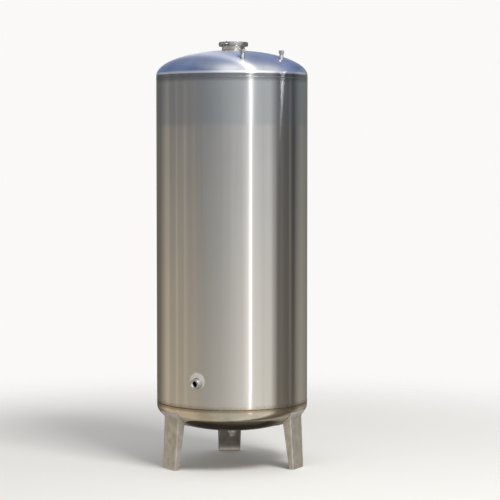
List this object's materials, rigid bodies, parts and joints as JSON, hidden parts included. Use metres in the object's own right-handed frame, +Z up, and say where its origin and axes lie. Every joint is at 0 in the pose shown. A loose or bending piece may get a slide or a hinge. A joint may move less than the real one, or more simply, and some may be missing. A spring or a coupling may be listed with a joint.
{
  "type": "vertical storage tank",
  "caption": "Upright stainless steel storage tank with shallow dished heads, folded channel legs, a clamped top cap, capped dome ports, a side port and a drain.",
  "frame": {"origin": "on the tank's axis at floor level, where the feet stand", "axes": "+Z up along the tank's axis, +Y towards the back leg, +X to the right as seen from the front"},
  "size_m": [1.002, 1.002, 2.801],
  "materials": {
    "sheet": "cold-rolled stainless sheet, satin",
    "plate": "folded stainless plate, dull",
    "fitting": "turned stainless",
    "weld": "brushed weld metal",
    "gasket": "matt rubber"
  },
  "bodies": {
    "root": {"shell": "sheet", "shell_seam_weld": "weld", "top_head": "sheet", "bottom_head": "sheet", "top_girth_weld": "weld", "bottom_girth_weld": "weld", "neck": "fitting", "neck_weld": "weld", "neck_gasket": "gasket", "end_cap": "fitting", "clamp_half_left": "fitting", "clamp_half_right": "fitting", "clamp_bolt": "fitting", "clamp_bolt_pin": "fitting", "clamp_wing_nut": "fitting", "clamp_hinge_pin": "fitting", "dome_port_front": "fitting", "dome_port_front_cap": "fitting", "dome_port_front_weld": "weld", "dome_port_side": "fitting", "dome_port_side_cap": "fitting", "dome_port_side_weld": "weld", "side_port_socket": "fitting", "side_port_weld": "weld", "leg_left": "plate", "leg_right": "plate", "leg_back": "plate", "leg_pad_left": "plate", "leg_pad_right": "plate", "leg_pad_back": "plate", "drain_socket": "fitting", "drain_bush": "fitting", "drain_plug": "fitting", "drain_weld": "weld"}
  },
  "joints": []
}
